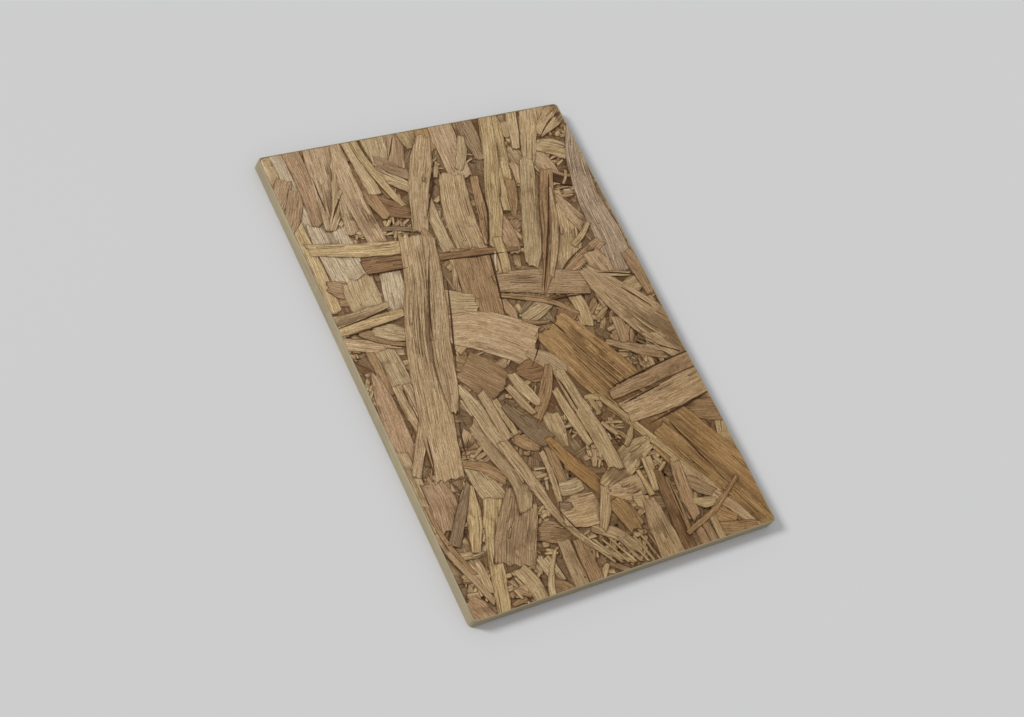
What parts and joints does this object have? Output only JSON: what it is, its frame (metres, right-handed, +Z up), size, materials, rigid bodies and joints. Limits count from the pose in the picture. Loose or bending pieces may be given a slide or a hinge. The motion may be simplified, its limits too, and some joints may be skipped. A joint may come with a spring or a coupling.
{
  "type": "osb board",
  "caption": "Flat rectangular board of oriented strand board with rounded corners and eased arrises.",
  "frame": {"origin": "middle of the underside, on the floor that the board lies on", "axes": "+X across the width, +Y along the length, +Z up through the thickness"},
  "size_m": [0.21, 0.297, 0.008],
  "materials": {
    "osb": "matte"
  },
  "bodies": {
    "root": {"osb_board": "osb"}
  },
  "joints": []
}
